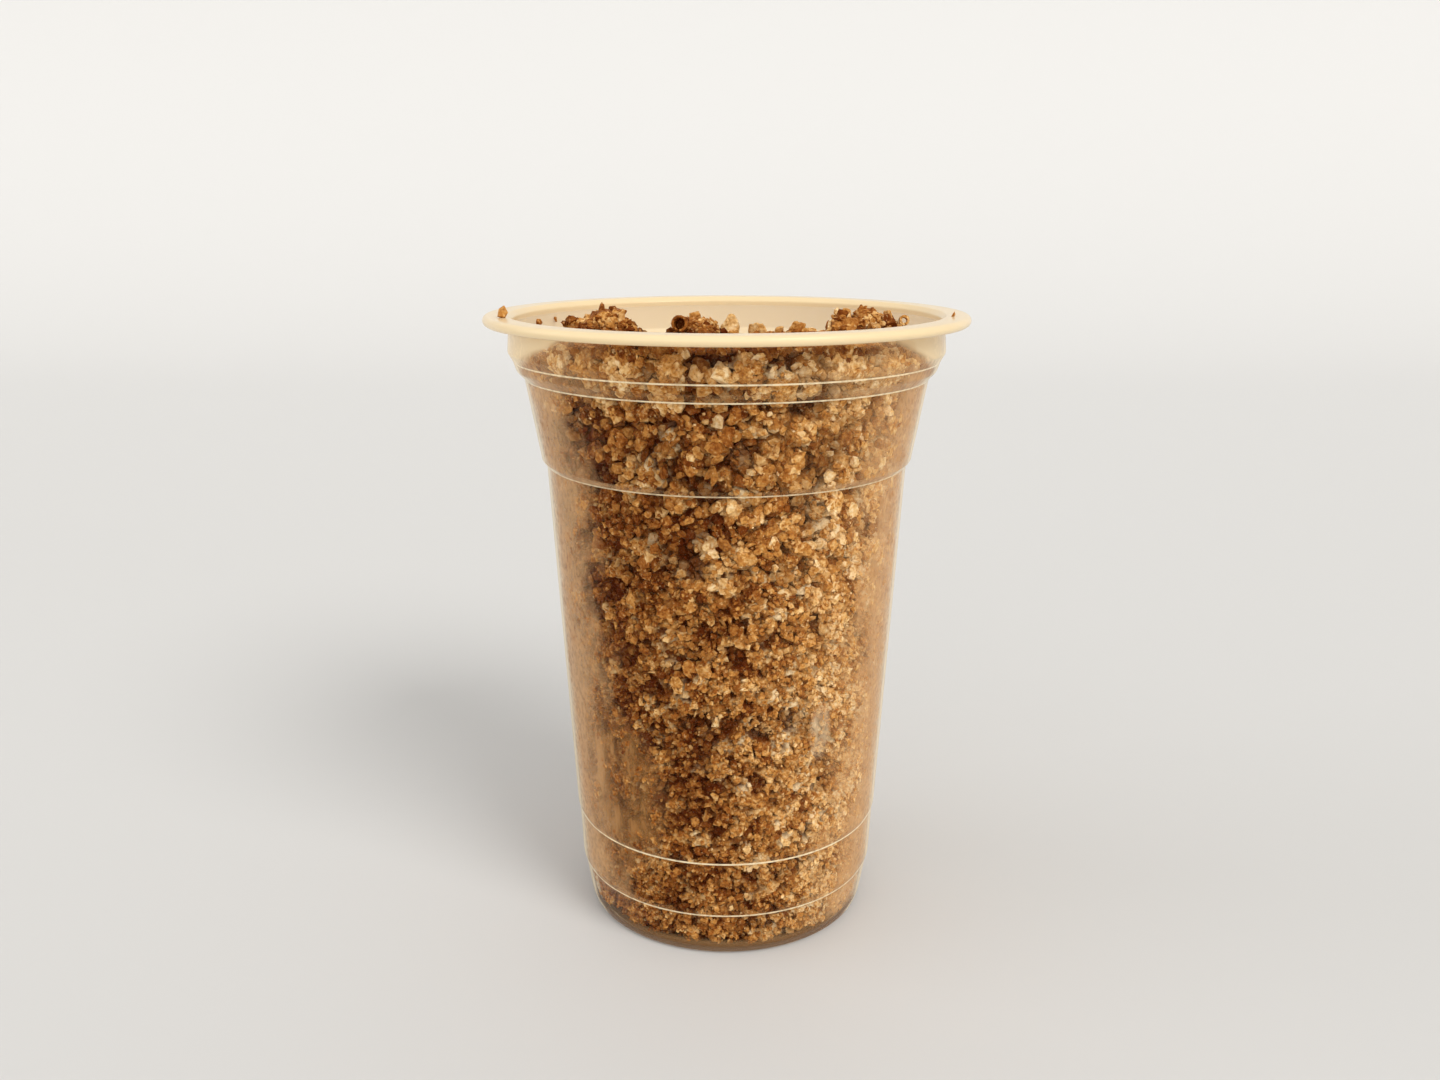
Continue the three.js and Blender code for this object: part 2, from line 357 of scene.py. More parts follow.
def plastic_material():
    material, surface = new_material("milky_clear_plastic")
    tree = material.node_tree
    place = add(tree, "ShaderNodeTexCoord").outputs["Object"]
    across, inward, height = add(tree, "ShaderNodeSeparateXYZ", {0: place}).outputs
    inside = own_value(tree, "inside")
    slant = add(tree, "ShaderNodeLayerWeight", {"Blend": 0.5}).outputs["Facing"]
    bare = bare_wall(tree, across, inward, height)
    touched = calc(tree, "SUBTRACT", 1.0, bare)

    # Where the bread was pressed along the wall it left a film, drawn out up and down.
    drawn = add(tree, "ShaderNodeMapping", {"Vector": place, "Scale": (1, 1, 0.55)}).outputs[0]
    cloud = cloudy(tree, drawn, 170.0, 6.0, 0.62)
    grit = cloudy(tree, place, 900.0, 3.0)
    stroke = add(tree, "ShaderNodeMapping", {"Vector": place, "Scale": (1, 1, 0.13)}).outputs[0]
    streaky = spread(tree, cloudy(tree, stroke, 520.0, 3.0), 0.4, 0.62, 0.7, 1.2)
    patchy = times(tree, spread(tree, cloud, 0.33, 0.58, 0.25, 1.0), streaky, inside)
    film = 0.0
    films = []
    for middle, half_sizes, strength, film_colour in SMEARS.values():
        spot = times(tree, smear(tree, place, middle, half_sizes, strength), patchy)
        films.append((spread(tree, spot, 0.0, 0.3), film_colour))
        film = calc(tree, "MAXIMUM", film, spot)
    # The steps' bright lines are painted highlights: a strip of milky haze along each band's top.
    line, highlight_haze = painted_step_highlights(tree, height, inside, grit)

    # The slanted sides turn hazy, the collar sooner and the heel's left side later.
    ragged = calc(tree, "ADD", slant, spread(tree, cloud, 0.3, 0.7, -0.11, 0.11))
    speckled = spread(tree, grit, 0.35, 0.6, 0.75, 1.1)
    heel_low = spread(tree, across, -12 * MM, 20 * MM, 0.15, 0.9)
    heel_clear = spread(tree, height, 8.0 * MM, 11.0 * MM, heel_low, 1.0)
    slant_haze = spread(tree, ragged, 0.34, 0.74, 0.0, SLANT_HAZE)
    slant_haze = times(tree, slant_haze, speckled, heel_clear)
    on_collar = spread(tree, height, 111 * MM, 117 * MM)
    on_base = spread(tree, height, 3.6 * MM, 2.2 * MM)
    right_veil = times(tree, inside, spread(tree, across, 0.0, 26 * MM, 0.0, PAINTED_VEIL_ON_RIGHT))
    haze = largest(
        tree,
        calc(tree, "ADD", slant_haze, right_veil),
        times(tree, on_collar, spread(tree, ragged, 0.1, 0.5, 0.0, COLLAR_HAZE)),
        spread(tree, slant, 0.78, 0.9, 0.0, EDGE_HAZE),
        times(tree, bare, BARE_HAZE),
        spread(tree, height, 122.8 * MM, 123.2 * MM, 0.0, LIP_HAZE),
        times(tree, on_base, BASE_HAZE),
        highlight_haze,
        film,
    )

    # The haze takes the colour of what made it; on the base it is painted the brown of the bread
    # seen through it.
    bready = times(tree, touched, calc(tree, "SUBTRACT", 1.0, line))
    bready = times(tree, bready, spread(tree, slant, 0.9, 0.78))
    colour = blend(tree, bare, MILK, LIP_CREAM)
    colour = blend(tree, bready, colour, BREAD_FILM)
    for share, film_colour in films:
        colour = blend(tree, share, colour, film_colour)
    colour = blend(tree, times(tree, on_base, bready), colour, BREAD_SEEN_IN_BASE)
    on_lip = spread(tree, height, 122.5 * MM, 123.2 * MM)
    colour = blend(tree, on_lip, colour, LIP_CREAM)
    bump = bumpy(tree, cloudy(tree, place, 70.0), 0.12, 0.4)

    pale_sockets = {
        "Base Color": colour,
        "Roughness": 0.3,
        "Normal": bump,
        "Specular IOR Level": spread(tree, height, 118 * MM, 123 * MM, 0.12, 0.5),
        "Specular Tint": FILM_SHINE,
    }
    pale = add(tree, "ShaderNodeBsdfPrincipled", pale_sockets).outputs[0]
    glow = add(tree, "ShaderNodeBsdfTranslucent", {"Color": colour}).outputs[0]
    pale = add(tree, "ShaderNodeMixShader", {0: SHINE_THROUGH, 1: pale, 2: glow}).outputs[0]
    clear = add(tree, "ShaderNodeBsdfTransparent").outputs[0]
    veiled = add(tree, "ShaderNodeMixShader", {0: haze, 1: clear, 2: pale}).outputs[0]
    gloss_sockets = {"Roughness": 0.12, "Normal": bump, "Color": (1, 1, 1, 1)}
    gloss = add(tree, "ShaderNodeBsdfGlossy", gloss_sockets).outputs[0]
    steep = calc(tree, "POWER", slant, 5.0)
    mirror = calc(tree, "MULTIPLY_ADD", steep, MIRROR_AT_SLANT, MIRROR_AT_FRONT)
    glazed = add(tree, "ShaderNodeMixShader", {0: mirror, 1: veiled, 2: gloss}).outputs[0]
    tree.links.new(glazed, surface)
    return material


plastic = plastic_material()
print("plastic nodes:", len(plastic.node_tree.nodes))

# %% [markdown]
# ## The cup
#
# A cup is a turned form, so it starts as half an outline: from under the base, up the outer
# face, round the lip and down the inner face to the floor. Bevelling the outline's corners
# before spinning it rounds every ring at once, with no need to find the rings on the mesh.

# %% Outline of the cup
FLANGE_THICKNESS = 1.0
BEAD_HEIGHT = 1.9
BEAD_WIDTH = 2.1
MOUTH_ROUNDING = 0.9
FOOT_RING = (26.4, 27.9)  # inner and outer radius of the ring it stands on
PANEL_HEIGHT = 1.5
PANEL_THICKNESS = 0.8
CORNER_ROUNDING = 0.3
BEAD_ROUNDING = 0.48 * BEAD_HEIGHT
CUP_STEPS = 192


def cup_outline():
    """Corners of the half outline as (radius, height), from the axis to the axis."""
    collar_radius = BANDS["collar"][1][1]
    underside = CUP_HEIGHT - FLANGE_THICKNESS
    bead_in = LIP_RADIUS - BEAD_WIDTH
    bead_low = CUP_HEIGHT - BEAD_HEIGHT
    mouth = collar_radius - WALL
    outer = list(zip(WALL_RADII, WALL_HEIGHTS))
    inner = [(radius - WALL, height) for radius, height in reversed(outer)]
    floor = PANEL_HEIGHT + PANEL_THICKNESS
    heel_radius = BANDS["heel"][0][1]
    under = [(0, PANEL_HEIGHT), (FOOT_RING[0] - 1, PANEL_HEIGHT), (FOOT_RING[0], 0)]
    heel = [(FOOT_RING[1], 0), ((FOOT_RING[1] + 2 * heel_radius) / 3, 0.55)]
    lip = [
        (collar_radius, underside),
        (bead_in, underside),
        (bead_in, bead_low),
        (LIP_RADIUS, bead_low),
        (LIP_RADIUS, CUP_HEIGHT),
        (mouth + MOUTH_ROUNDING, CUP_HEIGHT),
        (mouth, CUP_HEIGHT - MOUTH_ROUNDING),
    ]
    groove = [
        (FOOT_RING[1] + WALL / 2, PANEL_THICKNESS + WALL / 2),
        (FOOT_RING[1], PANEL_THICKNESS),
        (FOOT_RING[0] + WALL, PANEL_THICKNESS),
        (FOOT_RING[0] + WALL - 1, floor),
        (0, floor),
    ]
    return under + heel + outer + lip + inner + groove


def cup_mesh():
    bm = bmesh.new()
    corners = draw_outline(bm, [(r * MM, 0, z * MM) for r, z in cup_outline()])
    bead = [v for v in corners if v.co.x > (LIP_RADIUS - 0.1) * MM]
    rounded = [v for v in corners[1:-1] if v not in bead]
    for group, rounding in ((bead, BEAD_ROUNDING), (rounded, CORNER_ROUNDING)):
        bmesh.ops.bevel(
            bm, geom=group, offset=rounding * MM, offset_type="OFFSET", segments=4,
            profile=0.5, affect="VERTICES", clamp_overlap=True, material=-1,
        )
    turn_outline(bm, CUP_STEPS)
    return to_mesh(bm, "cup_wall")


cup_wall = cup_mesh()
wall_x, wall_y, wall_z = corners_of(cup_wall) / MM
store(cup_wall, inside=np.hypot(wall_x, wall_y) < outer_radius(wall_z) - WALL / 2)
cup_wall.shade_smooth()
cup = new_piece("clear_cup", cup_wall, plastic)
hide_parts("cup")

# %% [markdown]
# ## The form of the heap
#
# The top isn't level. It is highest at the front, slopes down to the back and falls away at
# both sides, and four clumps stand up from it. One function of x and y says how high the bare
# top is, and everything on the heap asks it. The lumps lie along an even spiral, by the same
# rule and random draws as the solid's, so that each stands where the solid has one. A few
# smaller ones, the peaks, make the clumps' outline more uneven.

# %% Height of the heap
GAP = 0.35
CLUMPS = {
    # x, y, spread, rise, lumps
    "left": (-23.5, -8.0, 7.0, 5.8, 11),
    "middle": (-5.5, -13.0, 5.2, 4.5, 7),
    "right": (26.5, -6.5, 7.6, 6.0, 12),
    "small": (10.5, -14.0, 5.4, 2.5, 5),
}


def top_height(x, y):
    """Height of the bare top of the crumble, in millimetres."""
    base = CUP_HEIGHT - TOP_DEPTH - TOP_SLOPE * y
    fall = FALL_SLOPE * np.maximum(0, np.abs(x) - FALL_START)
    mounds = [
        rise * np.exp(-((np.hypot(x - clump_x, y - clump_y) / reach) ** 4))
        for clump_x, clump_y, reach, rise, _ in CLUMPS.values()
    ]
    return base - fall + np.max(mounds, axis=0)


print("top at the front, middle and back:", top_height(0, -38), top_height(0, 0), top_height(0, 38))

# %% Lumps of the heap
GOLDEN_ANGLE = math.pi * (3 - math.sqrt(5))
LUMP_VARIATION = 0.28
TOP_LUMP_SINK = 0.15
DRAWS_PER_LUMP = 15  # random draws that shape one lump of the solid


def repeatable_draws(seed):
    """The same random numbers from 0 to 1 as the solid's."""
    state = seed
    while True:
        state = (state * 1664525 + 1013904223) % 2**32
        yield state / 2**32


def spiral_lumps(draws, count, size, reach_of, centre=(0.0, 0.0)):
    """Lumps on the top, along an even spiral: a list of (x, y, z, radius)."""
    lumps = []
    for i in range(count):
        radius = size * (1 + (next(draws) * 2 - 1) * LUMP_VARIATION)
        distance = reach_of(radius) * math.sqrt((i + 0.5) / count)
        x = centre[0] + distance * math.cos(i * GOLDEN_ANGLE)
        y = centre[1] + distance * math.sin(i * GOLDEN_ANGLE)
        lumps.append((x, y, float(top_height(x, y)) - radius * TOP_LUMP_SINK, radius))
        for _ in range(DRAWS_PER_LUMP):
            next(draws)
    return lumps


TOP_LUMPS = 66
TOP_LUMP = 4.0
CLUMP_LUMP = 2.7
mouth_reach = float(inner_radius(CUP_HEIGHT)) - GAP
top_lumps = spiral_lumps(repeatable_draws(31), TOP_LUMPS, TOP_LUMP, lambda r: mouth_reach - r / 2)
clump_draws = repeatable_draws(43)
clump_lumps = [
    lump
    for x, y, reach, _, count in CLUMPS.values()
    for lump in spiral_lumps(clump_draws, count, CLUMP_LUMP, lambda r: reach, (x, y))
]
PEAKS = [
    # x, y, z and radius of the lumps that stand out most, mm
    (22.0, -8.0, 124.3, 1.9),
    (26.5, -8.0, 124.8, 2.2),
    (30.2, -8.0, 123.6, 1.6),
    (-29.8, -8.0, 123.3, 1.6),
]
print("lumps:", len(top_lumps), "on the top and", len(clump_lumps), "in the clumps")

# %% [markdown]
# ## What the wall shows
#
# Pressed against the plastic, the crumble shows lumps with dark gaps between them: large ones
# near the brim, small ones near the foot. A pattern of cells does this. Points are strewn
# over the wall, each owning the area nearest to it. In the middle of its area the bread
# touches the wall, along the borders it falls back into a gap, and now and then a whole lump
# is missing and leaves a pocket. A tree of points finds the nearest two quickly.

# %% Cells on the wall
FLOOR = PANEL_HEIGHT + PANEL_THICKNESS
COARSE_FROM = 62.0  # below this height the crumbs are fine, above COARSE_TO they are lumps
COARSE_TO = 98.0
FINE_CELLS, FINE_CELL = 2300, 2.6  # how many are strewn, and how wide one is, mm
COARSE_CELLS, COARSE_CELL = 470, 4.8
FINE_MISSING, COARSE_MISSING = 0.11, 0.17  # the share that is missing
FINE_POCKET, COARSE_POCKET = 1.0, 1.6  # the depth of the pocket that leaves, mm
FINE_SET_BACK, COARSE_SET_BACK = 0.3, 0.6  # how far back any lump may lie, mm
rng = np.random.default_rng(5)


def coarseness(height):
    """0 low down, where the crumbs are fine, and 1 near the brim."""
    share = np.clip((height - COARSE_FROM) / (COARSE_TO - COARSE_FROM), 0, 1)
    return share * share * (3 - 2 * share)


def on_wall(angle, height, depth=0.0):
    """Points at a depth behind the inner face of the wall."""
    radius = inner_radius(height) - depth
    return np.stack([radius * np.cos(angle), radius * np.sin(angle), height], axis=-1)


def strewn(count, low, high):
    """Angles and heights of points spread evenly over a stretch of the wall."""
    i = np.arange(count)
    angle = i * GOLDEN_ANGLE + rng.normal(0, 0.06, count)
    height = low + (high - low) * (i + rng.random(count)) / count
    return angle, height


def wall_cells():
    """Middles of the cells, with each cell's size, depth and tone."""
    fine_angle, fine_height = strewn(FINE_CELLS, FLOOR, 84)
    coarse_angle, coarse_height = strewn(COARSE_CELLS, 66, CUP_HEIGHT)
    angle = np.concatenate([fine_angle, coarse_angle])
    height = np.concatenate([fine_height, coarse_height])
    coarse = np.arange(len(angle)) >= len(fine_angle)
    lot = rng.random(len(angle))
    keep = np.where(coarse, lot < coarseness(height) + 0.1, lot > coarseness(height))
    angle, height, coarse = angle[keep], height[keep], coarse[keep]
    size = np.where(coarse, COARSE_CELL, FINE_CELL)
    missing = rng.random(len(angle)) < np.where(coarse, COARSE_MISSING, FINE_MISSING)
    recess = np.where(coarse, COARSE_SET_BACK, FINE_SET_BACK) * rng.random(len(angle)) ** 2
    recess = recess + missing * np.where(coarse, COARSE_POCKET, FINE_POCKET)
    tone = rng.random(len(angle))
    return on_wall(angle, height), size, recess, tone


cell_points, cell_size, cell_recess, cell_tone = wall_cells()
cell_tree = kdtree.KDTree(len(cell_points))
for index, cell_point in enumerate(cell_points):
    cell_tree.insert(cell_point, index)
cell_tree.balance()
print("cells on the wall:", len(cell_points))


def towards_key_side(x, radius):
    """Goes from -1 on the left to 1 on the right, the side the key light comes from."""
    return np.clip(1.4 * x / radius, -1, 1)


BORDER = 0.42  # how far the gap round a cell reaches into it, as a share of its size
FINE_GAP, COARSER_GAP = 0.8, 1.3  # its depth, mm, and what coarseness adds
UNEVEN_SPACING, UNEVEN_DEPTH = 3.1, 0.4  # the bread's face is uneven, mm
CHINK_SPACING, CHINK_DEPTH, CHINK_FROM = 1.15, 3.4, 0.06  # chinks between single crumbs
HOLLOW_SPACING, HOLLOW_FROM = 11.0, 0.2  # wide hollows, where the noise is above a level
FINE_HOLLOW, COARSER_HOLLOW = 2.0, 1.5
DEEPEST = 4.0
FINE_SHADE, COARSER_SHADE = 2.35, 1.25  # a gap this deep gets the darkest painted shade, mm
# less painted shade on the right, where the key light falls
LESS_SHADE_ON_RIGHT = 0.6


def wall_relief(points):
    """How far the bread stands back at points of the wall, and its tone there."""
    depth = np.empty(len(points))
    tone = np.empty(len(points))
    rough = coarseness(points[:, 2])
    for i, point in enumerate(points):
        (_, nearest, first), (_, _, second) = cell_tree.find_n(point, 2)
        border = 1 - min(1.0, (second - first) / (BORDER * cell_size[nearest]))
        gap = (FINE_GAP + COARSER_GAP * rough[i]) * border * border
        uneven = UNEVEN_DEPTH * noise.noise(Vector(point) / UNEVEN_SPACING)
        chink = max(0.0, noise.noise(Vector(point) / CHINK_SPACING) - CHINK_FROM) * CHINK_DEPTH
        hollow = max(0.0, noise.noise(Vector(point) / HOLLOW_SPACING) - HOLLOW_FROM)
        hollow = hollow * (FINE_HOLLOW + COARSER_HOLLOW * rough[i])
        depth[i] = cell_recess[nearest] + gap + uneven + chink + hollow
        tone[i] = cell_tone[nearest]
    return np.clip(depth, 0.0, DEEPEST), tone


def shown_depth(depth, height, key_side=0.0):
    """Depth attribute for painted shade: 1 where a gap is deep for the crumbs at that height."""
    darkest_at = FINE_SHADE + COARSER_SHADE * coarseness(height)
    return depth / darkest_at * (1 - LESS_SHADE_ON_RIGHT * np.maximum(key_side, 0))


# %% [markdown]
# ## The core
#
# Behind the loose crumbs lies bread too fine and too moist to tell apart. It is one closed
# skin: an outline of floor, side and top is spun into a plain drum, and then each of its
# points is moved to where the cells and the height of the heap put it. The drum's own
# coordinates say which part of the skin a point belongs to, so no list of rows is needed.

# %% Core of the crumble
CORE_STEPS = 300
CORE_ROWS = 236
CORE_RINGS = 38
# Painted light: the bread is made paler towards the right, where the key light falls.
PAINTED_LIGHT_ON_RIGHT = 0.20
CORE_BACK = 0.25  # the core keeps this much behind the loose crumbs
RIM_BACK = 1.5  # and its top keeps this much within the wall
TOP_ROUGHNESS, TOP_SPACING = 0.7, 2.3  # noise on its top, mm
CORE_SHADE = 0.5  # painted shade makes it look this much deeper than it is, mm
TOP_SHADE = 1.4  # how deep the top looks between the lumps on it by painted shade, mm


def drum():
    """A closed drum of radius 1 and height 1 with many rows and rings."""
    bm = bmesh.new()
    side = [(1.0, row / CORE_ROWS) for row in range(CORE_ROWS + 1)]
    top = [(1 - ring / CORE_RINGS, 1.0) for ring in range(1, CORE_RINGS + 1)]
    draw_outline(bm, [(r, 0, z) for r, z in [(0.0, 0.0), *side, *top]])
    turn_outline(bm, CORE_STEPS)
    return to_mesh(bm, "crumble_core")


def shape_core(mesh):
    """Moves the drum's points to the side, top and floor of the crumble."""
    x, y, z = corners_of(mesh)
    reach, angle = np.hypot(x, y), np.arctan2(y, x)
    edge = inner_radius(CUP_HEIGHT) - GAP
    brim = top_height(edge * np.cos(angle), edge * np.sin(angle))
    height = FLOOR + z * (brim - FLOOR)
    wall = on_wall(angle, height)
    is_side = reach > 1 - 0.5 / CORE_RINGS
    depth = np.zeros(len(x))
    tone = np.full(len(x), 0.4)
    depth[is_side], tone[is_side] = wall_relief(wall[is_side])
    radius = reach * (inner_radius(height) - np.where(is_side, depth + CORE_BACK, RIM_BACK))
    px, py, pz = radius * np.cos(angle), radius * np.sin(angle), height
    on_top = z > 1 - 1e-6
    top_x, top_y = px[on_top], py[on_top]
    rough = [noise.noise(Vector((a, b, 0)) / TOP_SPACING) for a, b in zip(top_x, top_y)]
    pz[on_top] = top_height(top_x, top_y) + TOP_ROUGHNESS * np.array(rough)
    depth[on_top & ~is_side] = TOP_SHADE
    mesh.vertices.foreach_set("co", np.stack([px, py, pz], axis=-1).ravel() * MM)
    # The core's tone gets painted light on the right, and its painted shade is less there.
    key_side = towards_key_side(px, np.hypot(px, py) + 1)
    shade = shown_depth(depth + CORE_SHADE, height, key_side)
    store(mesh, tone=tone + PAINTED_LIGHT_ON_RIGHT * key_side, depth=shade)
    mesh.update()


core_mesh = drum()
shape_core(core_mesh)
core_mesh.shade_smooth()

# %% [markdown]
# ## The bread
#
# Date bread is wholemeal bread worked with date paste and butter. Dry broken faces are tan,
# crust and moist paste are deep brown. Each crumb carries two numbers: tone says how pale it
# is, and depth how far it lies back in the heap, which the material turns into painted shade
# in the deep brown of moist paste. Noise adds what is smaller than a crumb: mottling, painted
# shade in dark pits and painted glints as golden specks.

# %% Bread material
BREAD_COLOURS = (
    (0.00, (0.150, 0.034, 0.004, 1)),
    (0.28, (0.330, 0.112, 0.020, 1)),
    (0.56, (0.565, 0.264, 0.064, 1)),
    (0.80, (0.795, 0.508, 0.212, 1)),
    (1.00, (0.935, 0.730, 0.435, 1)),
)
# the colour of the painted shade in the gaps: the dark red of moist paste
SHADE_AND_MOIST_PASTE = (0.088, 0.011, 0.0006, 1)
# the colour of the painted glints, pale golden specks
GLINT_COLOUR = (0.940, 0.700, 0.360, 1)
WARM_SHINE = (1.0, 0.8, 0.5, 1)
BREAD_SHINE = 0.12
GLINT_SHARE = 0.3
PIT_SHADE_LOW, PIT_SHADE_HIGH = 0.45, 0.3  # how dark the painted shade in the tiny pits is, low on the cup and high on it
DARKEST_SHADE = 0.9  # how much painted shade, in the paste's colour, covers the bread in the deepest gaps


def bread_material():
    material, surface = new_material("date_bread")
    tree = material.node_tree
    place = add(tree, "ShaderNodeTexCoord").outputs["Object"]
    mottle = cloudy(tree, place, 900.0, 4.0)
    fleck = cloudy(tree, place, 1700.0)
    uneven = calc(tree, "MULTIPLY_ADD", mottle, 0.8, -0.4)
    uneven = calc(tree, "MULTIPLY_ADD", fleck, 0.5, uneven)
    uneven = calc(tree, "SUBTRACT", uneven, 0.25)
    pale = calc(tree, "ADD", own_value(tree, "tone"), uneven)
    ramp = add(tree, "ShaderNodeValToRGB", {"Fac": pale})
    stops = ramp.color_ramp.elements
    while len(stops) < len(BREAD_COLOURS):
        stops.new(0.5)
    for stop, (position, colour) in zip(stops, BREAD_COLOURS):
        stop.position = position
        stop.color = colour
    # Pale golden specks: painted glints.
    glints = spread(tree, fleck, 0.60, 0.70, 0.0, GLINT_SHARE)
    colour = blend(tree, glints, ramp.outputs["Color"], GLINT_COLOUR)
    height = add(tree, "ShaderNodeSeparateXYZ", {0: place}).outputs["Z"]
    # Painted shade in tiny pits, spotted by noise.
    pit_shade_share = spread(tree, height, 50 * MM, 90 * MM, PIT_SHADE_LOW, PIT_SHADE_HIGH)
    pit_shade = times(tree, spread(tree, fleck, 0.43, 0.35), pit_shade_share)
    # Painted shade: the deeper a crumb lies, the more it takes the colour of moist paste.
    shade = spread(tree, own_value(tree, "depth"), 0.05, 0.75, 0.0, DARKEST_SHADE)
    colour = blend(tree, calc(tree, "MAXIMUM", pit_shade, shade), colour, SHADE_AND_MOIST_PASTE)
    pores = add(tree, "ShaderNodeTexVoronoi", {"Vector": place, "Scale": 1500.0})
    relief = calc(tree, "ADD", fleck, pores.outputs["Distance"])
    sockets = {
        "Base Color": colour,
        "Roughness": spread(tree, mottle, 0.3, 0.7, 0.85, 0.5),
        "Normal": bumpy(tree, relief, 0.6, 0.35),
        "Specular IOR Level": BREAD_SHINE,
        "Specular Tint": WARM_SHINE,
    }
    tree.links.new(add(tree, "ShaderNodeBsdfPrincipled", sockets).outputs[0], surface)
    return material


bread = bread_material()
core = new_piece("crumble_core", core_mesh, bread)
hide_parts("date_bread_crumble")

# %% [markdown]
# ## One crumb
#
# There are thousands of crumbs, so each may have only a few dozen faces. Bread breaks into
# angular bits, and the skin round a handful of loose corners, the convex hull, has just that
# look: six corners make a speck of eight faces, and fourteen a crumb of twenty-four. Twenty
# shapes of each kind, stretched and turned every way, never look repeated.


# %% Shapes of crumbs
def mesh_arrays(bm):
    """Corners and faces of a bmesh as arrays."""
    bm.verts.index_update()
    points = np.array([v.co[:] for v in bm.verts])
    faces = np.array([[v.index for v in f.verts] for f in bm.faces])
    bm.free()
    return points, faces


def to_unit(points):
    """Brings a shape to a radius of one half."""
    return points / np.abs(points).max() / 2


def shard(seed, corners):
    """The skin round a few corners that are strewn over a ball."""
    bm = bmesh.new()
    draws = np.random.default_rng(seed)
    for i in range(corners):
        up = 1 - (2 * i + 1) / corners
        around = i * GOLDEN_ANGLE
        flat = math.sqrt(1 - up * up)
        way = Vector((flat * math.cos(around), flat * math.sin(around), up))
        bm.verts.new((way + Vector(draws.normal(0, 0.32, 3))).normalized())
    bmesh.ops.convex_hull(bm, input=bm.verts[:])
    bmesh.ops.recalc_face_normals(bm, faces=bm.faces[:])
    points, faces = mesh_arrays(bm)
    return to_unit(points), faces


speck_shapes = [shard(seed, 6) for seed in range(71, 91)]
chip_shapes = [shard(seed, 8) for seed in range(31, 51)]
grain_shapes = [shard(seed, 11) for seed in range(51, 71)]
broken_shapes = [shard(seed, 14) for seed in range(11, 31)]
for shapes in (speck_shapes, chip_shapes, grain_shapes, broken_shapes):
    print("faces of one crumb:", sorted({len(faces) for _, faces in shapes}))

# %% [markdown]
# ## Many crumbs in one mesh
#
# Thousands of objects would be slow, so all the crumbs of a kind are joined into one mesh.
# Arrays scale, turn and move the corners of every crumb at once. Corners that end up past the
# plastic are pulled back to it, which flattens a crumb just as pressing it against the wall
# does. They may reach a little way into the plastic, so that no gap of air shows.

# %% Joining crumbs
BITE = 0.12
LIP_TOP = 0.4  # crumbs less far below the rim may lie out on the lip


def random_turns(count):
    """Rotation matrices that point every way alike."""
    turns = rng.normal(size=(count, 4))
    return np.array([Quaternion(turn).normalized().to_matrix() for turn in turns])


def pressed_to_wall(points):
    """Pulls points below the lip back to the cup's inner face and floor."""
    x, y, z = points[..., 0], points[..., 1], np.maximum(points[..., 2], FLOOR - BITE)
    radius = np.maximum(np.hypot(x, y), 1e-6)
    limit = np.where(z < CUP_HEIGHT - LIP_TOP, inner_radius(z) + BITE, LIP_RADIUS)
    keep = np.minimum(1, limit / radius)
    return np.stack([x * keep, y * keep, z], axis=-1)


def bread_piece(name, points, faces, tones, depths):
    """A piece of bread from its points in millimetres, its faces and two numbers a point."""
    mesh = bpy.data.meshes.new(name)
    mesh.from_pydata((points * MM).tolist(), [], faces.tolist())
    store(mesh, tone=tones, depth=depths)
    mesh.validate()
    new_piece(name, mesh, bread)
    return mesh


def joined_crumbs(name, shapes, places, sizes, tones, depths, stretch=(0.5, 1.4)):
    """One piece made of a crumb at each place; stretch is the range of its three widths."""
    count = len(places)
    kind = np.arange(count) % len(shapes)
    forms = np.stack([points for points, _ in shapes])
    faces = np.stack([faces for _, faces in shapes])
    own = forms[kind] * sizes[:, None, None] * rng.uniform(*stretch, (count, 1, 3))
    corners = np.einsum("nij,nkj->nki", random_turns(count), own) + places[:, None, :]
    corners = pressed_to_wall(corners).reshape(-1, 3)
    per_crumb = forms.shape[1]
    faces = faces[kind] + (np.arange(count) * per_crumb)[:, None, None]
    faces = faces.reshape(-1, faces.shape[2])
    tones, depths = np.repeat(tones, per_crumb), np.repeat(depths, per_crumb)
    bread_piece(name, corners, faces, tones, depths).shade_flat()


# %% [markdown]
# ## Crumbs against the wall
#
# The crumbs are strewn over the wall by height: fine ones low down, broken lumps near the
# brim. Each asks the relief how far back its spot lies and sits there, half sunk into the
# core. Its tone follows its cell, so that neighbours read as one lump.

# %% Wall crumbs
WALL_CRUMBS = {
    # shapes and how many; low and high end, smallest and largest, mm; the share that is kept
    # where the wall is fine and where it is coarse; how much paler they are
    "chips": (chip_shapes, 16400, (FLOOR, 100), (0.8, 1.8), (1, 0.1), 0),
    "grains": (grain_shapes, 10900, (FLOOR, 116), (0.7, 1.7), (1, 0.3), 0),
    "coarse_crumbs": (broken_shapes, 8100, (58, CUP_HEIGHT), (1.0, 2.9), (0.15, 1), 0),
    "specks": (speck_shapes, 15000, (FLOOR, CUP_HEIGHT), (0.35, 0.9), (1, 1), 0.15),
}
# Painted light: crumbs near the brim are made paler.
PAINTED_LIGHT_AT_BRIM = 0.2
BRIM_FROM, BRIM_TO = 106, 116
DARKEST, PALEST = 0.35, 0.86  # the tone of a dark cell, and the palest of any crumb
CELL_TONE = 0.28  # what a cell's own tone adds


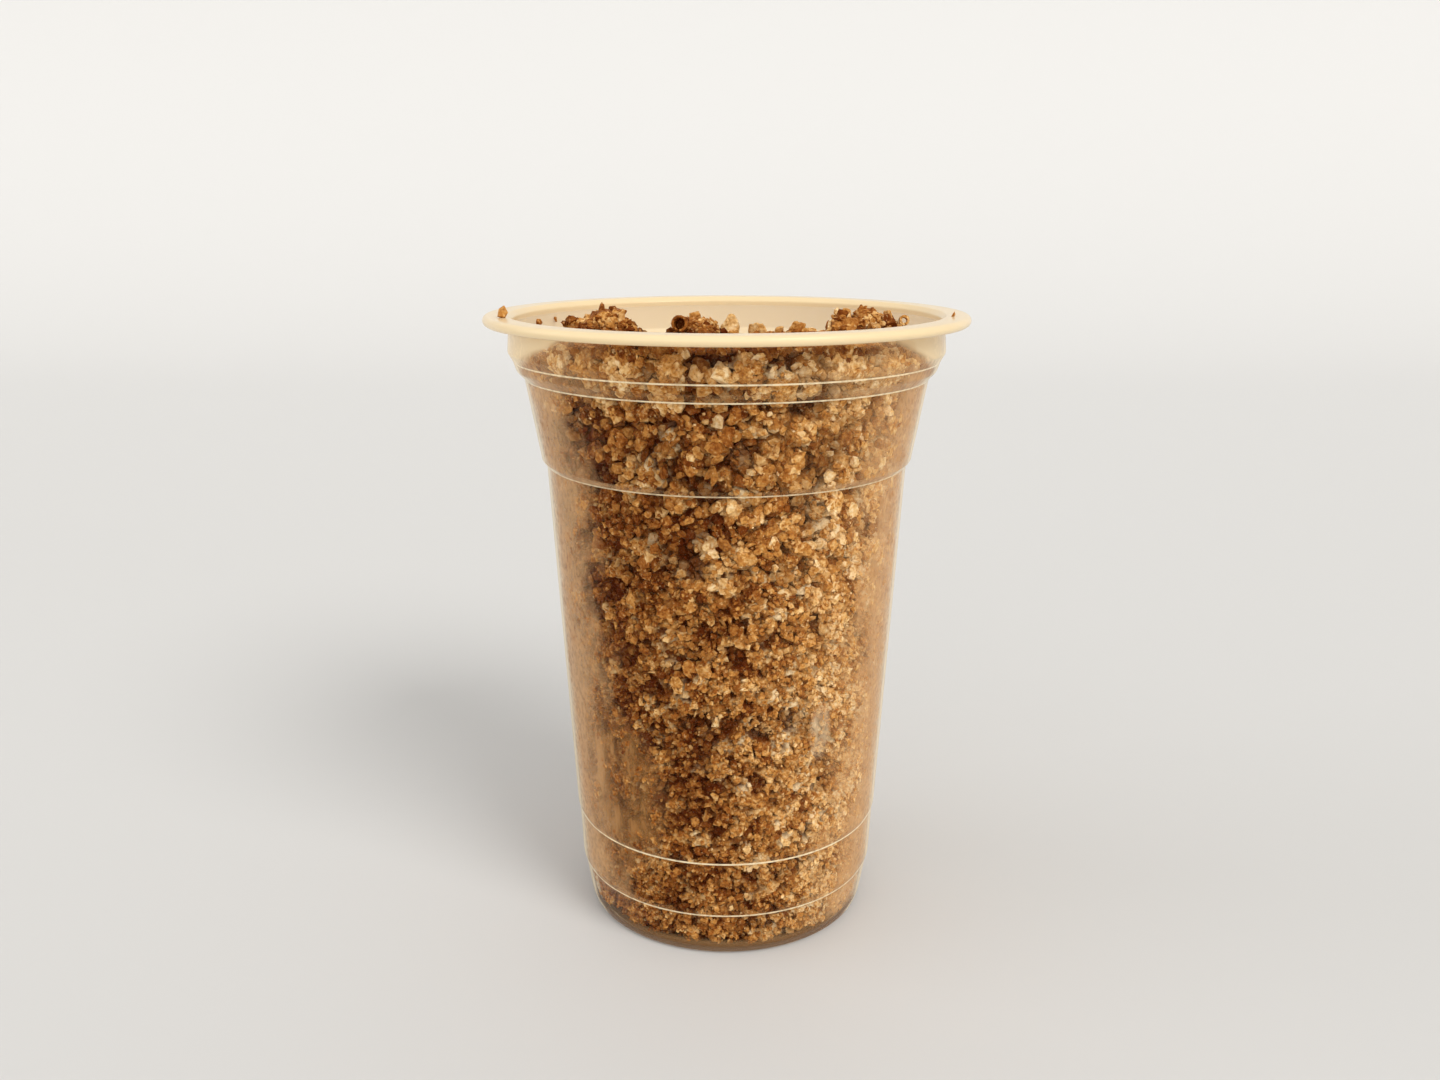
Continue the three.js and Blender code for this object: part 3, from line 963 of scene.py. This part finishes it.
def wall_crumbs(name, shapes, count, ends, sizes, shares, pale):
    """Crumbs strewn between two heights, kept by lot, up to the top of the heap."""
    angle, height = strewn(count * 2, *ends)
    x, y = inner_radius(height) * np.cos(angle), inner_radius(height) * np.sin(angle)
    keep = rng.random(len(angle)) < shares[0] + (shares[1] - shares[0]) * coarseness(height)
    keep &= height < top_height(x, y) + 0.5
    kept = rng.permutation(np.flatnonzero(keep))[:count]
    angle, height = angle[kept], height[kept]
    depth, cell = wall_relief(on_wall(angle, height))
    size = sizes[0] + (sizes[1] - sizes[0]) * rng.random(len(angle)) ** 1.6
    places = on_wall(angle, height, depth + size * rng.uniform(-0.05, 0.4, len(angle)))
    own_tone = rng.normal(pale, 0.11 + 0.07 * coarseness(height))
    brim = PAINTED_LIGHT_AT_BRIM * np.clip((height - BRIM_FROM) / (BRIM_TO - BRIM_FROM), 0, 1)
    # Painted light on the right, in the tone, and less painted shade there.
    key_side = towards_key_side(places[:, 0], inner_radius(height))
    tone = DARKEST + CELL_TONE * cell + brim + own_tone + PAINTED_LIGHT_ON_RIGHT * key_side
    depth = shown_depth(depth, height, key_side)
    joined_crumbs(name, shapes, places, size, np.clip(tone, 0, PALEST), depth)


for name, kind in WALL_CRUMBS.items():
    wall_crumbs(name, *kind)

# %% [markdown]
# ## Lumps pressed against the wall
#
# Round the collar whole lumps are pressed against the plastic. Such a lump is a cluster of
# crumbs that share one tone. Strewing crumbs over a disc and letting the wall flatten them
# gives a rough face with an uneven edge, which one smooth ball couldn't. Those in front have
# places of their own, and the rest follow the top of the heap.

# %% Pressed lumps
COLLAR_LUMPS = {
    # degrees round from the front, to the right; height, size and tone
    "far left": (-46.0, 118.6, 5.4, 0.80),
    "left": (-37.0, 117.6, 5.4, 0.56),
    "golden": (-26.5, 118.0, 6.4, 0.76),
    "left of middle": (-14.0, 119.0, 4.6, 0.58),
    "low": (-16.0, 113.0, 5.2, 0.68),
    "middle": (5.0, 118.2, 4.8, 0.50),
    "right of middle": (13.0, 115.0, 5.6, 0.62),
    "right": (31.0, 118.8, 5.0, 0.74),
    "far right": (44.0, 118.0, 6.0, 0.82),
}
LUMPS_BEHIND = 24
BEHIND_FROM, BEHIND_TO = -28.0, 208.0  # degrees; the front is at -90
CRUMBS_PER_LUMP_AREA = 2.1
LUMP_BULGE = 0.9  # a lump's edge stands back this far, mm


def pressed_lumps():
    front = np.array(list(COLLAR_LUMPS.values()))
    front[:, 0] = np.radians(front[:, 0]) - math.pi / 2
    angle = np.linspace(BEHIND_FROM, BEHIND_TO, LUMPS_BEHIND)
    angle = np.radians(angle + rng.normal(0, 3, LUMPS_BEHIND))
    reach = inner_radius(CUP_HEIGHT)
    level = top_height(reach * np.cos(angle), reach * np.sin(angle))
    height = level - rng.uniform(0.5, 4.5, LUMPS_BEHIND)
    size, tone = rng.uniform(4.2, 6.2, LUMPS_BEHIND), rng.uniform(0.4, 0.75, LUMPS_BEHIND)
    behind = np.stack([angle, height, size, tone], axis=-1)
    angle, height, size, tone = np.concatenate([front, behind]).T
    owner = np.repeat(np.arange(len(size)), (CRUMBS_PER_LUMP_AREA * size * size).astype(int))
    from_middle = size[owner] / 2 * np.sqrt(rng.random(len(owner)))
    way = rng.random(len(owner)) * 2 * math.pi
    height = height[owner] + from_middle * np.sin(way)
    angle = angle[owner] + from_middle * np.cos(way) / inner_radius(height)
    bulge = LUMP_BULGE * (2 * from_middle / size[owner]) ** 2
    places = on_wall(angle, height, 0.35 + bulge + rng.normal(0, 0.15, len(owner)))
    own_tone = np.clip(tone[owner] + rng.normal(0, 0.08, len(owner)), 0, 1)
    # A lump's edge, standing back, gets a little painted shade.
    joined_crumbs(
        "pressed_lumps", broken_shapes, places, rng.uniform(0.9, 2.4, len(owner)),
        own_tone, 0.25 * bulge, (0.6, 1.25),
    )


pressed_lumps()

# %% [markdown]
# ## Lumps and crumbs on the top
#
# The top is seen from the side, so its lumps need true form with undercuts that a height
# alone can't give. Each is a ball of a few hundred faces, pushed about by noise at two
# scales. Then crumbs are scattered over every lump, and the bare top between them.

# %% Lumps on the top
LUMP_SHARE = 0.8  # the lump itself, as a share of the solid's: the rest is crumbs on it
LUMP_HEIGHT = 0.88  # its height, as a share of its width
BALL_ROUNDS = 3  # how often the faces of an icosahedron are split to make a lump


def joined_forms(name, forms, tones):
    """One smooth piece made of several forms, each given by its corners and faces."""
    start = np.cumsum([0] + [len(corners) for corners, _ in forms])
    points = np.concatenate([corners for corners, _ in forms])
    faces = np.concatenate([own + first for (_, own), first in zip(forms, start)])
    depths = np.zeros(len(points))
    bread_piece(name, points, faces, np.concatenate(tones), depths).shade_smooth()


def lumps_mesh(name, lumps):
    """Lumps, each a ball with its own uneven form."""
    bm = bmesh.new()
    bmesh.ops.create_icosphere(bm, subdivisions=BALL_ROUNDS, radius=1)
    ball, faces = mesh_arrays(bm)
    forms, tones = [], []
    for i, (x, y, z, radius) in enumerate(lumps):
        push = []
        for p in ball:
            at = Vector(p) + Vector((7.3 * i, 0, 0))
            push.append(1 + 0.35 * noise.noise(at * 1.3) + 0.16 * noise.noise(at * 3.9))
        scale = radius * LUMP_SHARE * np.array([1, 1, LUMP_HEIGHT])
        form = ball * np.array(push)[:, None] * scale + (x, y, z)
        forms.append((pressed_to_wall(form), faces))
        tones.append(np.full(len(ball), 0.15 + 0.35 * rng.random()))
    joined_forms(name, forms, tones)


lumps_mesh("top_lumps", top_lumps + clump_lumps + PEAKS)


# %% Crumbs on the lumps and between them
def crumbs_on_lumps(lumps, per_area):
    """Places on the upper skin of each lump, with the crumbs' tones."""
    places, tones = [], []
    for x, y, z, radius in lumps:
        count = int(per_area * radius * radius)
        way = rng.normal(size=(count, 3))
        way[:, 2] = np.abs(way[:, 2]) - 0.25
        way /= np.linalg.norm(way, axis=1, keepdims=True)
        skin = LUMP_SHARE * rng.uniform(0.85, 1.15, (count, 1))
        places.append(np.array([x, y, z]) + way * skin * radius * (1, 1, LUMP_HEIGHT))
        tones.append(np.full(count, rng.uniform(0.15, 0.65)) + rng.normal(0, 0.22, count))
    return np.concatenate(places), np.clip(np.concatenate(tones), 0, 1)


def crumbs_between(count):
    """Places on the bare top, out to the wall, where they lie closer together."""
    reach = inner_radius(CUP_HEIGHT) * rng.random(count) ** 0.36
    angle = rng.random(count) * 2 * math.pi
    x, y = reach * np.cos(angle), reach * np.sin(angle)
    return np.stack([x, y, top_height(x, y) + 0.3], axis=-1), rng.uniform(0.1, 0.6, count)


BARE_CRUMBS = 2600
TOP_CRUMBS_PER_AREA, CLUMP_CRUMBS_PER_AREA = 2.4, 10.0
CLUMP_SHADED_BELOW = 122.0  # painted shade darkens the clumps up to here, mm
CLUMP_SHADE, CLUMP_LIGHTER = 0.7, 0.25  # how much painted shade, and how much less at each mm above
CLUMP_PALEST = 0.7

lump_places, lump_tones = crumbs_on_lumps(top_lumps, TOP_CRUMBS_PER_AREA)
bare_places, bare_tones = crumbs_between(BARE_CRUMBS)
top_places = np.concatenate([lump_places, bare_places])
top_sizes = rng.uniform(1.0, 2.7, len(top_places))
# Crumbs on the bare top get a little painted shade.
top_depths = np.concatenate([np.zeros(len(lump_places)), np.full(len(bare_places), 0.3)])
joined_crumbs(
    "top_crumbs", broken_shapes, top_places, top_sizes,
    0.85 * np.concatenate([lump_tones, bare_tones]), top_depths,
)
clump_places, clump_tones = crumbs_on_lumps(clump_lumps + PEAKS, CLUMP_CRUMBS_PER_AREA)
clump_depths = CLUMP_SHADE - CLUMP_LIGHTER * (clump_places[:, 2] - CLUMP_SHADED_BELOW)
clump_depths = np.clip(clump_depths, 0.05, CLUMP_SHADE)
clump_depths = clump_depths * rng.uniform(0.3, 1.3, len(clump_places))
# Painted light on the right side of the clumps.
clump_painted_light = 0.6 * PAINTED_LIGHT_ON_RIGHT * towards_key_side(clump_places[:, 0], LIP_RADIUS)
joined_crumbs(
    "clump_crumbs", grain_shapes, clump_places, rng.uniform(0.6, 1.6, len(clump_places)),
    np.minimum(clump_tones, CLUMP_PALEST) + clump_painted_light, clump_depths,
)

# %% [markdown]
# ## Flakes of crust and stray crumbs
#
# Thin bits of crust stick out of the heap, and a few of them curl. Each starts as a flat
# slab. Noise tears its edge, and bending it round an axis curls it. Thickening a bent sheet
# instead could throw corners far out where the torn edge folds. Small flakes are scattered
# like crumbs. The large ones have places of their own, and each is propped by a little pile
# of crumbs, because nothing hangs in the air. A few crumbs were spilt on the lip and the wall.


# %% Shape of a flake
def flake(cuts, width, length, curl, thickness, seed):
    """A bit of crust that stands up along z, curled by an angle in degrees round that axis."""
    bm = bmesh.new()
    bmesh.ops.create_grid(bm, x_segments=cuts, y_segments=cuts, size=0.5)
    raised = bmesh.ops.extrude_face_region(bm, geom=bm.faces[:], use_keep_orig=True)["geom"]
    upper = [g for g in raised if isinstance(g, bmesh.types.BMVert)]
    bmesh.ops.translate(bm, verts=upper, vec=(0, 0, thickness))
    turn = math.radians(curl)
    bend_radius = width / turn
    for v in bm.verts:
        u, w, level = v.co
        way = Vector((u, w, 0)).normalized()
        torn = 1 + 0.35 * noise.noise(way * 1.7 + Vector((seed, 0, 0)))
        rounded = 1 - 0.3 * (4 * u * w) ** 2
        around = u * torn * rounded * turn
        reach = bend_radius - level
        out = bend_radius - reach * math.cos(around)
        v.co = Vector((reach * math.sin(around), out, w * torn * rounded * length))
    bmesh.ops.recalc_face_normals(bm, faces=bm.faces[:])
    if bm.calc_volume(signed=True) < 0:  # a curled slab can come out inside out
        bmesh.ops.reverse_faces(bm, faces=bm.faces[:])
    return bm


flake_shapes = []
for seed in range(101, 113):
    small_flake = flake(3, 1.0, 1.0, 40 + 12 * (seed % 9), 0.22, seed)
    flake_points, flake_faces = mesh_arrays(small_flake)
    flake_shapes.append((to_unit(flake_points), flake_faces))
print("faces of a small flake:", len(flake_shapes[0][1]))

# %% Small flakes on the heap
SMALL_FLAKES_PER_AREA = 0.5
CRUST_DARKNESS = 0.7  # crust is browner than crumb
flake_places, flake_tones = crumbs_on_lumps(top_lumps + clump_lumps, SMALL_FLAKES_PER_AREA)
joined_crumbs(
    "crust_flakes", flake_shapes, flake_places, rng.uniform(1.2, 3.0, len(flake_places)),
    np.clip(CRUST_DARKNESS * flake_tones, 0, 1), np.zeros(len(flake_places)),
)

# %% Large flakes over the lip
LARGE_FLAKES = {
    # middle; width, length and curl; tip towards -y and turn about z, degrees; tone
    "upright": ((0.9, -13.0, 122.8), (3.9, 5.0, 50), (0, 15), 0.78),
    "hollow": ((-8.6, -17.5, 125.7), (8.8, 2.4, 335), (-102, -8), 0.26),
    "wedge": ((5.6, -14.0, 122.4), (3.8, 3.6, 40), (0, -30), 0.68),
    "scrap": ((9.8, -14.5, 122.2), (2.6, 2.6, 60), (20, 40), 0.60),
    "ring": ((33.7, -9.0, 125.1), (6.0, 1.0, 345), (-102, 8), 0.62),
    "bit": ((13.4, -14.0, 123.0), (3.2, 2.8, 70), (15, 20), 0.52),
    "left": ((-19.5, -10.0, 124.6), (3.2, 3.4, 90), (0, 70), 0.66),
    "right": ((30.2, -8.5, 124.4), (3.4, 3.2, 110), (0, -60), 0.62),
}
FLAKE_CUTS = 11
FLAKE_THICKNESS = 0.45
PROP_CRUMBS = 16
PROP_SPREAD = (2.6, 0.7)  # how loosely they lie, at the foot and under the flake


def large_flakes():
    """Flakes, each turned and moved to its place."""
    forms, tones = [], []
    for seed, (middle, (width, length, curl), angles, tone) in enumerate(LARGE_FLAKES.values()):
        bm = flake(FLAKE_CUTS, width, length, curl, FLAKE_THICKNESS, seed)
        for degrees, axis in zip(angles, "XZ"):
            turn = Matrix.Rotation(math.radians(degrees), 3, axis)
            bmesh.ops.rotate(bm, verts=bm.verts[:], cent=(0, 0, 0), matrix=turn)
        bmesh.ops.translate(bm, verts=bm.verts[:], vec=middle)
        points, faces = mesh_arrays(bm)
        forms.append((points, faces))
        tones.append(np.array([tone + 0.2 * noise.noise(Vector(p) / 1.2) for p in points]))
    joined_forms("large_flakes", forms, tones)


large_flakes()

# %% Props and stray crumbs
STRAYS = {
    # middle, size and tone
    "lip, large": ((-41.9, -13.4, 125.9), 2.3, 0.5),
    "lip, left": ((-44.0, -1.0, 125.4), 1.0, 0.4),
    "lip, right": ((42.8, -10.9, 125.4), 1.0, 0.5),
    "wall, small": ((-39.2, 14.1, 121.7), 1.2, 0.3),
    "wall, large": ((-36.4, 20.0, 121.8), 1.5, 0.3),
    # a very dark crumb behind the curled flake stands in for the shade inside the curl
    "in the hollow": ((-8.5, -15.4, 124.0), 3.4, 0.05),
}
ROLL_CLEARANCE = 1.6  # a rolled flake lies this far above the middle of its top prop, mm
stray_places = [place for place, _, _ in STRAYS.values()]
stray_sizes = [size for _, size, _ in STRAYS.values()]
for (flake_x, flake_y, flake_z), (width, _, curl), *_ in LARGE_FLAKES.values():
    foot = float(top_height(flake_x, flake_y))
    rolled = 2 * width / math.radians(curl) + ROLL_CLEARANCE
    sink = rolled if curl > 180 else 0.8
    rise = np.linspace(foot, flake_z - sink, PROP_CRUMBS)
    for height, reach in zip(rise, np.linspace(*PROP_SPREAD, PROP_CRUMBS)):
        shift = rng.normal(0, 0.5, 2) * reach
        stray_places.append((flake_x + shift[0], flake_y + shift[1], height))
        stray_sizes.append(rng.uniform(1.3, 2.6))
stray_tones = rng.uniform(0.2, 0.7, len(stray_places))
stray_tones[:len(STRAYS)] = [tone for _, _, tone in STRAYS.values()]
joined_crumbs(
    "stray_crumbs", broken_shapes, np.array(stray_places), np.array(stray_sizes),
    stray_tones, np.zeros(len(stray_places)),
)

# %% [markdown]
# ## Floor and light
#
# A pale floor that sweeps up behind the cup gives a plain ground with no horizon. The key
# light comes from the front right, so that the soft shadow falls to the left. A low lamp in
# front looks into the gaps between the lumps, and two weak ones on the left keep that side of
# the plastic milky. They are sun lamps, which light the floor and the backdrop evenly, and
# their wide angles soften the shadows.

# %% Floor
FLOOR_COLOUR = (0.64, 0.645, 0.65, 1)
HALF_FLOOR, BACKDROP_HEIGHT, FOLD_ROUNDING = 1.6, 2.4, 0.8  # in metres


def sweep():
    """A floor that turns up into a backdrop."""
    bm = bmesh.new()
    bmesh.ops.create_grid(bm, x_segments=1, y_segments=1, size=HALF_FLOOR)
    back = [e for e in bm.edges if all(v.co.y > 1 for v in e.verts)]
    raised = bmesh.ops.extrude_edge_only(bm, edges=back)["geom"]
    upper = [g for g in raised if isinstance(g, bmesh.types.BMVert)]
    bmesh.ops.translate(bm, verts=upper, vec=(0, 0, BACKDROP_HEIGHT))
    bmesh.ops.bevel(
        bm, geom=back, offset=FOLD_ROUNDING, offset_type="OFFSET", segments=16,
        profile=0.5, affect="EDGES", material=-1,
    )
    return to_mesh(bm, "floor")


floor_material, floor_surface = new_material("pale_floor")
floor_shader = add(
    floor_material.node_tree, "ShaderNodeBsdfPrincipled",
    {"Base Color": FLOOR_COLOUR, "Roughness": 0.75},
)
floor_material.node_tree.links.new(floor_shader.outputs[0], floor_surface)
floor_mesh = sweep()
floor_mesh.shade_smooth()
floor_mesh.materials.append(floor_material)
in_scene("floor", floor_mesh)


# %% Lamps and world
WARM_WHITE = (1.0, 0.97, 0.92)
WORLD_COLOUR = (1.0, 0.96, 0.90, 1)
WORLD_STRENGTH = 0.62


def sun(name, place, softness, strength, colour=(1, 1, 1)):
    """A far lamp that shines from a place towards the cup; softness is in degrees."""
    data = bpy.data.lights.new(name, "SUN")
    data.angle = math.radians(softness)
    data.energy = strength
    data.color = colour
    lamp = in_scene(name, data)
    lamp.location = place
    lamp.rotation_euler = (-Vector(place)).to_track_quat("-Z", "Y").to_euler()


sun("key", (0.70, -0.82, 0.9), 28, 1.65, WARM_WHITE)
sun("front", (0.2, -1.0, 0.25), 70, 0.7, WARM_WHITE)
sun("fill", (-0.8, -0.8, 0.5), 60, 0.35)
sun("edge", (-1.0, 0.0, 0.35), 40, 0.6)

world = bpy.data.worlds.new("studio")
world.use_nodes = True
sky = world.node_tree.nodes["Background"].inputs
sky["Color"].default_value = WORLD_COLOUR
sky["Strength"].default_value = WORLD_STRENGTH
bpy.context.scene.world = world
bpy.context.scene.view_settings.view_transform = "Standard"
